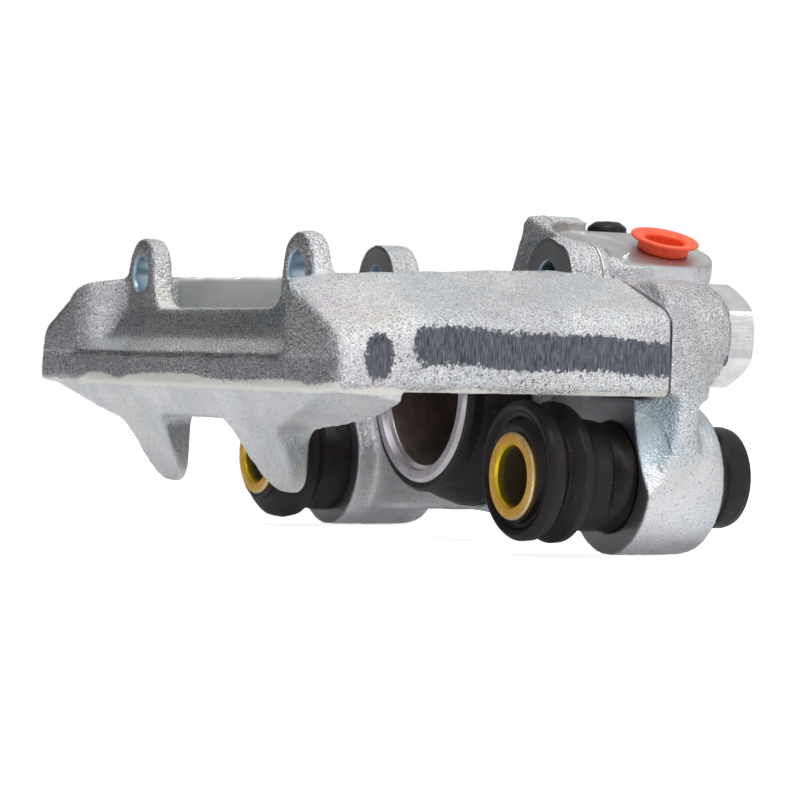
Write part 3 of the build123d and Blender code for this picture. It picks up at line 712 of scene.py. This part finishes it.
def housing_machined(points):
    x, y, z = points.T
    spot = 0.8 * spot_face(points, 0.7, 0.0)
    boss_back = hump(y, BOSS_BACK_Y, 0.7) * (1 - soft_step(sleeve_distance(points), 18.0, 18.6))
    joint = hump(y, JOINT_Y, 0.5) * soft_step(z, 0, 1)
    holes = (1 - soft_step(pin_distance(points), 4.7, 5.1)) * (1 - soft_step(y, 39, 41))
    pin_face = hump(y, PIN_FACE_Y, 0.6) * (1 - soft_step(pin_distance(points), 13, 16)) * soft_step(z, 14, 17)
    radius = np.hypot(x, z)
    bore = (1 - soft_step(radius, 30.2, 30.8)) * (1 - soft_step(y, 70.2, 70.8))
    seat = hump(y, BOLT_SEAT_Y, 0.7) * (1 - soft_step(bolt_distance(points), 11.6, 12.2))
    bolt_hole = (1 - soft_step(bolt_distance(points), 7.4, 7.9)) * soft_step(y, 30, 31)
    sleeve_hole = 1 - soft_step(sleeve_distance(points), 13.3, 13.8)
    height = port_height(points)
    port = hump(height, PORT_FACE, 0.8) * soft_step(y, 40, 42)
    tool = (1 - soft_step(clearance_distance(points), 11.6, 12.0)) * soft_step(height, 46.9, 47.3)
    port_hole = np.linalg.norm(np.cross(points - PORT_FOOT, PORT_UP), axis=1)
    drilled = (1 - soft_step(port_hole, 5.8, 6.2)) * soft_step(height, 32, 33)
    bleeder_top = soft_step(z, 32.9, 33.3) * (1 - soft_step(np.hypot(x, y - BLEEDER_Y), 7.2, 7.8))
    screw_hole = (1 - soft_step(np.hypot(x, y - BLEEDER_Y), 5.2, 5.6)) * soft_step(z, 25, 26)
    return np.maximum.reduce([
        spot, boss_back, joint, holes, pin_face, bore, seat, bolt_hole, sleeve_hole, drilled,
        np.maximum(port, tool) * near_rail(points), bleeder_top, screw_hole,
    ])


def housing_edges(points):
    x, y, z = points.T
    crisp = housing_machined(points)
    near_joint = hump(y, JOINT_Y, 2.0) * soft_step(z, -1, 1)
    near_port = hump(port_height(points), PORT_FACE, 2.0) * near_rail(points)
    near_spot = spot_face(points, 1.6, 1.5)
    near_seat = hump(y, BOLT_SEAT_Y, 1.6) * (1 - soft_step(bolt_distance(points), 13, 14))
    easing = 0.8 * near_joint + 0.85 * near_port + 0.8 * near_spot + 0.7 * near_seat
    return np.clip(1 - crisp - easing, 0.04, 1)


def lug_weight(points):
    x, y, z = points.T
    return soft_step(np.abs(x), 30, 34) * soft_step(y, 36, 40) * (1 - housing_machined(points))


def web_weight(points):
    x, y, z = points.T
    web = soft_step(y, 41, 46) * (1 - soft_step(y, 60, 66)) * (1 - housing_machined(points))
    return web * (1 - soft_step(port_height(points), 43, 45) * near_rail(points))


def housing_marks(points, normals):
    x, y, z = points.T
    sleeve = sleeve_distance(points)
    pin = pin_distance(points)
    from_bolt = np.where(z > 0, bolt_distance(points), 99)
    turned = np.minimum(sleeve, np.minimum(pin + 0.5, from_bolt))
    fine = np.maximum(soft_step(-z, 12, 20), soft_step(sleeve, 19.4, 18.9) * soft_step(y, 23, 24))
    port_side = soft_step(port_height(points), 36, 40) * near_rail(points) * soft_step(y, 44, 48)
    in_hole = (1 - soft_step(pin, 4.6, 5.0)) * (1 - soft_step(y, 39, 41))
    cone = np.interp(-z, (0, 12, 25), (11.0, 9.0, 1.5))
    pocket = (1 - soft_step(np.hypot(np.abs(x) - 90, y - 24.8) - cone, 0.3, 1.5)) * soft_step(-z, -0.5, 1.5)
    pocket *= soft_step(y, 27.2, 27.8)
    pin_face = hump(y, PIN_FACE_Y, 0.6) * (1 - soft_step(pin, 13, 16)) * soft_step(z, 14, 17)
    on_spot = spot_face(points, 0.9, 0.0)
    lug = soft_step(np.abs(x), 60, 66) * soft_step(y, 32.2, 33.0) * soft_step(z, -2, 4)
    return {
        # painted shade on the rail's outboard-facing faces, with the joint lug darkened the same way
        "dull": np.maximum(0.6 * soft_step(-normals[:, 1], 0.6, 0.9) * near_rail(points), 0.4 * lug),
        "dressed": np.zeros(len(points)), "oxide": np.zeros(len(points)), "filed": np.zeros(len(points)),
        "fine": np.maximum(0.8 * fine, 0.8 * port_side), "turned": turned,
        "ringed": 1 - soft_step(turned, 33, 34), "shaded": np.maximum(0.6 * pin_face, 0.85 * on_spot),
        "blued": np.maximum(0.75 * in_hole, 0.45 * pocket),
    }


cast_skin(
    "cylinder_housing_casting", "cylinder_housing", housing_machined, housing_edges,
    ((lug_weight, 24), (web_weight, 30)), CAST_TEXTURE, housing_marks,
)


# ------------------------------------------------------------------ guide sleeves, boots and bushes
SIDES = {"left": -1, "right": 1}
INBOARD = (0, 1, 0)


BOOT_PROFILES = {
    "left": [
        (10.5, 0.9, 0.15), (11.8, 0.9, 0.3), (12.1, 2.5, 0.5), (14.4, 3.2, 0.9), (16.2, 5.2, 1.4),
        (16.6, 8.4, 2.0), (16.2, 11.4, 1.4), (14.5, 13.3, 0.9), (14.4, 14.8, 0.8),
        (14.8, 18.0, 2.0), (14.8, 21.9, 0.3),
        (10.5, 21.9, 0.1), (10.5, 20.6), (12.6, 18.6, 0.8), (12.4, 14.4, 0.8), (14.2, 11.0, 0.8),
        (14.2, 6.8, 0.8), (12.0, 5.0, 0.6), (10.5, 4.2, 0.3),
    ],
    "right": [
        (10.5, 0.9, 0.15), (11.7, 0.8, 0.4), (12.6, 2.7, 0.8), (13.6, 2.5, 0.7), (14.5, 1.5, 0.7),
        (15.7, 1.2, 0.8), (16.7, 2.6, 1.0), (16.5, 5.4, 1.2), (14.8, 6.9, 0.8), (14.0, 7.9, 0.6),
        (15.1, 8.9, 0.6),
        (16.9, 10.6, 0.9), (16.6, 13.0, 1.0), (14.2, 14.4, 0.9), (13.5, 16.2, 1.5), (13.3, 21.6, 2.5),
        (12.7, 24.8, 1.6), (13.3, 26.9, 0.2), (10.5, 26.9, 0.1), (10.5, 25.6), (11.3, 23.6, 0.6),
        (11.5, 15.8, 1.2), (14.2, 12.6, 0.8), (14.2, 11.2, 0.6), (12.2, 9.4, 0.8), (10.5, 8.0, 0.3),
    ],
}
BOSS_FACES = {"left": FAR_BOSS_Y, "right": NEAR_BOSS_Y}


def near_boot_warp(radius, height, turn):
    """Lips sit a little high on the sleeve, and the neck is pinched where it meets the boss."""
    outside = soft_step(radius, 10.9, 12.6)
    lift = 1.35 * (1 - soft_step(height, 6, 27)) * outside
    away = np.angle(np.exp(1j * turn))
    pinch = np.exp(-((away / 0.55) ** 2))
    swell = 2.0 * pinch * hump(height, 24.4, 2.8) * outside
    crease = 1.1 * pinch * hump(height, 21.4, 1.2) * outside
    wave = 0.16 * np.sin(3 * turn + 0.4) * outside * hump(height, 10, 9)
    seam = 0.10 * hump(np.abs(away - 0.10), 0.0, 0.035) * outside * soft_step(height, 15, 16)
    return radius + swell - crease + wave + seam, height, lift


def far_boot_warp(radius, height, turn):
    """The single fold hangs slightly and is not quite round."""
    outside = soft_step(radius, 10.9, 12.6)
    wave = 0.2 * np.sin(2 * turn + 1.1) * outside * hump(height, 8.4, 6)
    return radius + wave, height, -0.5 * outside * hump(height, 8.4, 6)


for name, side in SIDES.items():
    foot = (side * SLEEVE_X, 0, SLEEVE_Z)
    face = BOSS_FACES[name]
    warp = near_boot_warp if side > 0 else far_boot_warp
    sleeve = lathe(f"sleeve_turned_{name}", foot, INBOARD, [
        (SLEEVE_BORE_R, 0.7, 0.2, 2), (SLEEVE_BORE_R + 0.45, 0.0, 0.25, 0), (SLEEVE_R - 0.35, 0.0, 0.12, 1),
        (SLEEVE_R, 0.4, 0.15, 0), (SLEEVE_R, SLEEVE_END - 0.4, 0.15, 1),
        (SLEEVE_R - 0.35, SLEEVE_END, 0.12, 0),
        (SLEEVE_BORE_R + 0.45, SLEEVE_END, 0.25, 2), (SLEEVE_BORE_R, SLEEVE_END - 0.7, 0.2, 2),
    ], (YELLOW, YELLOW_RIM, YELLOW_BORE))
    settle(sleeve, f"sleeve_{name}", "yellow_zinc_steel", f"guide_sleeve_{name}")

    bush = lathe(f"bush_moulded_{name}", foot, INBOARD, [
        (10.5, face + 0.6), (12.9, face + 0.6, 0.3), (12.9, 48.5, 0.2), (14.0, 48.5, 0.4), (14.2, 50.4, 0.8),
        (13.5, 52.0, 0.5), (12.0, 52.7, 0.4), (11.8, 53.4, 0.3), (12.3, 54.1, 0.4), (12.4, 55.0, 0.5),
        (12.4, 58.6, 0.8), (12.0, 60.1, 0.6), (11.3, 60.5, 0.4), (10.5, 60.1, 0.2),
    ], (RUBBER,), step=0.8)
    settle(bush, "caliper", "boot_rubber", f"guide_bush_{name}")

    boot = lathe(f"boot_moulded_{name}", foot, INBOARD, BOOT_PROFILES[name], (RUBBER,), step=0.7, warp=warp)
    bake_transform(boot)
    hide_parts(f"guide_boot_{name}")


# ------------------------------------------------------------------ piston, seal, dust boot and ring
piston = lathe("piston_turned", (0, 0, 0), INBOARD, [
    (0, 50.3, 0, 2), (16.5, 50.3, 1.5, 2), (19.5, 47.3, 1.0, 2), (19.5, PISTON_FACE + 2.4, 0.2, 0),
    (20.6, PISTON_FACE + 1.6, 0.3, 1), (20.9, PISTON_FACE, 0.3, 1), (PISTON_R - 0.9, PISTON_FACE, 0.3, 0),
    (PISTON_R, PISTON_FACE + 0.9, 0.3, 0), (PISTON_R, PISTON_FACE + 2.2, 0.1, 0),
    (PISTON_R - 1.8, PISTON_FACE + 2.6, 0.2, 0), (PISTON_R - 1.8, PISTON_FACE + 4.6, 0.2, 0),
    (PISTON_R, PISTON_FACE + 5.0, 0.1, 0), (PISTON_R, PISTON_BACK - 1.5, 0.4, 0),
    (PISTON_R - 1.5, PISTON_BACK, 0.4, 0), (0, PISTON_BACK, 0, 0),
], (PISTON_SKIRT, PISTON_RIM, PISTON_CUP), closed=False, crease=32)
settle(piston, "piston", "piston_steel", "piston")

seal = lathe("piston_seal_moulded", (0, 0, 0), INBOARD, [
    (PISTON_R + 0.05, 35.6, 0.3), (27.1, 35.6, 0.3), (27.1, 39.6, 0.3), (PISTON_R + 0.05, 39.6, 0.3),
], (SEAL,))
settle(seal, "caliper", "seal_rubber", "piston_seal")

dust_boot = lathe("dust_boot_moulded", (0, 0, 0), INBOARD, [
    (24.1, 13.3, 0.2), (25.5, 13.2, 0.5), (26.3, 14.2, 0.6), (26.3, 15.9, 0.6), (26.0, 16.8, 0.6),
    (26.7, 18.2, 0.8), (28.3, 22.0, 3.0), (29.7, 26.2, 0.8), (29.6, 27.8, 0.6), (28.3, 28.7, 0.3),
    (28.2, 30.6, 0.2), (29.2, 30.8, 0.1), (29.2, 32.9, 0.2), (25.7, 32.9, 0.2),
    (25.7, 30.4, 0.5), (27.6, 28.3, 0.6), (28.0, 26.2, 0.6), (26.8, 24.2, 0.6), (26.6, 21.8, 0.6),
    (25.3, 19.4, 0.6), (24.9, 17.8, 0.4), (24.1, 17.2, 0.2),
], (RUBBER,), step=0.7)
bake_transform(dust_boot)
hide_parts("piston_dust_boot")

ring = lathe("boot_ring_steel", (0, 0, 0), INBOARD, [
    (28.25, 29.3, 0.2), (29.25, 29.3, 0.2), (29.25, 30.5, 0.2), (28.25, 30.5, 0.2),
], (BOLT_STEEL,))
settle(ring, "caliper", "plated_steel", "boot_retaining_ring")


# ------------------------------------------------------------------ hexagons
def hexagon(turn, flats, phase):
    """Radius of a hexagon with slightly rounded corners."""
    sharp = 42.0
    total = sum(np.exp(sharp * np.cos(turn - phase - k * math.pi / 3)) for k in range(6))
    return flats / 2 / (np.log(total) / sharp)


def hex_warp(flats, phase, base, top, crown):
    """Turns the stretch of a profile between base and top into a hexagon with a chamfered crown."""

    def warp(radius, height, turn):
        limit = hexagon(turn, flats, phase)
        inside = (height > base - 1e-6) & (height < top + 1e-6) & (radius > crown - 1e-6)
        share = (radius - crown) / (0.6 * flats - crown)
        wide = crown + np.clip(share, 0, 1) * (limit - crown)
        drop = np.clip(wide - crown, 0, None) * math.tan(math.radians(28))
        new_radius = np.where(inside, wide, radius)
        on_crown = inside & (height > top - 0.02)
        new_height = np.where(on_crown, top - drop, height)
        return new_radius, new_height, np.zeros_like(radius)

    return warp


HEAD_BASE = BOLT_SEAT_Y
HEAD_TOP = float(bolt_high[1])
HEAD_FLATS = 22.0
HEAD_CROWN = HEAD_FLATS / 2 - 0.7
head_warp = hex_warp(HEAD_FLATS, 0.0, HEAD_BASE - 0.5, HEAD_TOP, HEAD_CROWN)
for name, side in SIDES.items():
    bolt = lathe(f"bridge_bolt_forged_{name}", (side * BOLT_X, 0, BOLT_Z), INBOARD, [
        (0, 4.0), (5.5, 4.0, 0.3), (7.0, 5.5, 0.3), (7.0, HEAD_BASE - 0.6, 0.2), (10.6, HEAD_BASE - 0.6, 0.1),
        (10.6, HEAD_BASE - 0.5), (0.6 * HEAD_FLATS, HEAD_BASE - 0.5), (0.6 * HEAD_FLATS, HEAD_BASE + 3.5),
        (0.6 * HEAD_FLATS, HEAD_TOP), (0.5 * HEAD_FLATS, HEAD_TOP), (HEAD_CROWN, HEAD_TOP), (9.4, HEAD_TOP),
        (9.0, HEAD_TOP - 0.25), (0, HEAD_TOP - 0.25),
    ], (BOLT_STEEL,), closed=False, step=3.0, warp=head_warp, crease=25)
    settle(bolt, "caliper", "plated_steel", f"bridge_bolt_{name}")

SCREW_BASE = 33.7
SCREW_TOP = 37.9
SCREW_FLATS = 11.0
screw_warp = hex_warp(SCREW_FLATS, math.pi / 6, SCREW_BASE, SCREW_TOP, 5.0)
bleed_screw = lathe("bleed_screw_turned", (0, BLEEDER_Y, 0), (0, 0, 1), [
    (0, 27.4), (1.2, 27.4, 0.1), (4.9, 30.5, 0.2), (4.9, SCREW_BASE), (0.6 * SCREW_FLATS, SCREW_BASE),
    (0.6 * SCREW_FLATS, SCREW_TOP), (5.5, SCREW_TOP), (5.0, SCREW_TOP), (3.6, SCREW_TOP, 0.3),
    (3.3, 38.6, 0.3), (3.3, 41.2, 0.2), (3.0, 41.6, 0.2),
    (3.3, 42.6, 0.2), (2.5, 43.5, 0.3), (1.2, 43.6, 0.1), (1.1, 42.4), (0, 42.2),
], (BOLT_STEEL,), closed=False, step=3.0, warp=screw_warp, crease=25)
settle(bleed_screw, "bleeder", "plated_steel", "bleed_screw")

CAP_BASE = float(cap_low[2])
CAP_TOP = float(cap_high[2])


def cap_warp(radius, height, turn):
    """Shallow finger flutes round the cap's skirt."""
    flute = 0.12 * np.cos(12 * turn) * hump(height, CAP_BASE + 2.2, 2.4) * soft_step(radius, 4.6, 5.2)
    return radius + flute, height, np.zeros_like(radius)


cap = lathe("bleed_cap_moulded", (0, BLEEDER_Y, 0), (0, 0, 1), [
    (0, 43.75), (2.9, 43.7, 0.4), (3.45, 42.8, 0.3), (3.45, CAP_BASE, 0.15), (5.5, CAP_BASE, 0.4),
    (5.75, CAP_BASE + 1.2, 0.5), (5.3, CAP_BASE + 3.6, 0.8), (5.1, CAP_TOP - 1.6, 1.3),
    (3.2, CAP_TOP - 0.25, 1.2), (0, CAP_TOP),
], (RUBBER,), closed=False, step=0.6, warp=cap_warp)
settle(cap, "bleeder_cap", "boot_rubber", "bleed_screw_cap")

plug = lathe("port_plug_moulded", PORT_FOOT, PORT_UP, [
    (0, PORT_FACE - 11.0), (4.6, PORT_FACE - 11.0, 0.5), (5.35, PORT_FACE - 9.0, 0.4),
    (5.35, PORT_FACE + 0.15, 0.1), (6.4, PORT_FACE + 0.15, 0.3), (6.55, PORT_FACE + 2.4, 0.4),
    (8.3, PORT_FACE + 2.75, 0.35), (8.7, PORT_FACE + 3.2, 0.3), (8.55, PORT_FACE + 3.65, 0.25),
    (6.2, PORT_FACE + 3.45, 0.5), (5.0, PORT_FACE + 2.9, 0.8), (4.4, PORT_FACE - 9.4, 0.6),
    (0, PORT_FACE - 9.6),
], (RED,), closed=False, step=0.8)
settle(plug, "port_plug", "red_plastic", "hose_port_plug")


# ------------------------------------------------------------------ studio
def studio_material(name, glow):
    """Pale floor whose glow is stronger for the camera, so that it doesn't flood the object."""
    material = bpy.data.materials.new(name)
    material.use_nodes = True
    tree = material.node_tree
    tree.nodes.clear()
    output = tree.nodes.new("ShaderNodeOutputMaterial")
    total = tree.nodes.new("ShaderNodeAddShader")
    diffuse = tree.nodes.new("ShaderNodeBsdfDiffuse")
    diffuse.inputs["Color"].default_value = (0.80, 0.80, 0.81, 1)
    emission = tree.nodes.new("ShaderNodeEmission")
    path = tree.nodes.new("ShaderNodeLightPath")
    dim = tree.nodes.new("ShaderNodeMath")
    dim.operation = "MULTIPLY_ADD"
    dim.inputs[1].default_value = glow - 0.15
    dim.inputs[2].default_value = 0.15
    tree.links.new(path.outputs["Is Camera Ray"], dim.inputs[0])
    tree.links.new(dim.outputs[0], emission.inputs["Strength"])
    tree.links.new(diffuse.outputs[0], total.inputs[0])
    tree.links.new(emission.outputs[0], total.inputs[1])
    tree.links.new(total.outputs[0], output.inputs[0])
    return material


def make_floor():
    half = 3.0
    level = cad_low.z - 0.0004
    mesh = bpy.data.meshes.new("floor")
    corners = [(x, y, level) for x, y in ((-half, -half), (half, -half), (half, half), (-half, half))]
    mesh.from_pydata(corners, [], [(0, 1, 2, 3)])
    mesh.materials.append(studio_material("floor_paint", 0.85))
    floor = bpy.data.objects.new("floor", mesh)
    bpy.context.scene.collection.objects.link(floor)


def make_world():
    """White room with a dark flag on the outboard side; the camera sees plain white."""
    world = bpy.data.worlds.new("room")
    bpy.context.scene.world = world
    world.use_nodes = True
    tree = world.node_tree
    tree.nodes.clear()

    def add(kind, **settings):
        node = tree.nodes.new(kind)
        for key, value in settings.items():
            setattr(node, key, value)
        return node

    def ramp(value, low, high, start, end):
        node = add("ShaderNodeMapRange", interpolation_type="SMOOTHSTEP")
        tree.links.new(value, node.inputs["Value"])
        for key, number in zip(("From Min", "From Max", "To Min", "To Max"), (low, high, start, end)):
            node.inputs[key].default_value = number
        return node.outputs[0]

    def toward(direction):
        node = add("ShaderNodeVectorMath", operation="DOT_PRODUCT")
        tree.links.new(coords.outputs["Generated"], node.inputs[0])
        node.inputs[1].default_value = Vector(direction).normalized()
        return node.outputs["Value"]

    coords = add("ShaderNodeTexCoord")
    height = ramp(toward((0, 0, 1)), -0.05, 0.9, 0.42, 0.80)
    flag = ramp(toward((-0.75, -0.66, 0.05)), 0.15, 0.75, 1.0, 0.15)
    lit = add("ShaderNodeMath", operation="MULTIPLY")
    tree.links.new(height, lit.inputs[0])
    tree.links.new(flag, lit.inputs[1])
    path = add("ShaderNodeLightPath")
    seen = add("ShaderNodeMix", data_type="FLOAT")
    tree.links.new(path.outputs["Is Camera Ray"], seen.inputs[0])
    tree.links.new(lit.outputs[0], seen.inputs[2])
    seen.inputs[3].default_value = 1.05
    background = add("ShaderNodeBackground")
    background.inputs["Color"].default_value = (1, 1, 1, 1)
    tree.links.new(seen.outputs[0], background.inputs["Strength"])
    output = add("ShaderNodeOutputWorld")
    tree.links.new(background.outputs[0], output.inputs[0])


def softbox(name, place, size, power, color=(1, 1, 1)):
    light = bpy.data.lights.new(name, "AREA")
    light.shape = "RECTANGLE"
    light.size, light.size_y = size
    light.energy = power
    light.color = color
    lamp = bpy.data.objects.new(name, light)
    lamp.location = Vector(place)
    lamp.rotation_mode = "QUATERNION"
    lamp.rotation_quaternion = (-Vector(place)).to_track_quat("-Z", "Y")
    bpy.context.scene.collection.objects.link(lamp)


def make_camera():
    """Long lens, almost level with the arms, off the outboard corner of the near side."""
    right = Vector((0.4742378, 0.8800182, 0.0258173))
    up = Vector((-0.0218777, -0.0175359, 0.9996069))
    back = Vector((0.8801249, -0.4746162, 0.0109366))
    place = Vector((0.7502126, -0.3974414, 0.0063773)) + Vector(DATUM)
    data = bpy.data.cameras.new("camera")
    data.lens = 150.64
    data.sensor_width = 36.0
    data.clip_start = 0.05
    data.dof.use_dof = True
    data.dof.focus_distance = 0.80
    data.dof.aperture_fstop = 48.0
    camera = bpy.data.objects.new("camera", data)
    camera.matrix_world = Matrix.LocRotScale(place, Matrix((right, up, back)).transposed(), None)
    bpy.context.scene.collection.objects.link(camera)
    bpy.context.scene.camera = camera


make_floor()
make_world()
softbox("key_softbox", (0.30, -0.10, 0.72), (0.5, 0.5), 4.0)
softbox("side_softbox", (0.75, 0.55, 0.25), (0.5, 0.4), 0.65)
make_camera()
bpy.context.scene.view_settings.view_transform = "Standard"
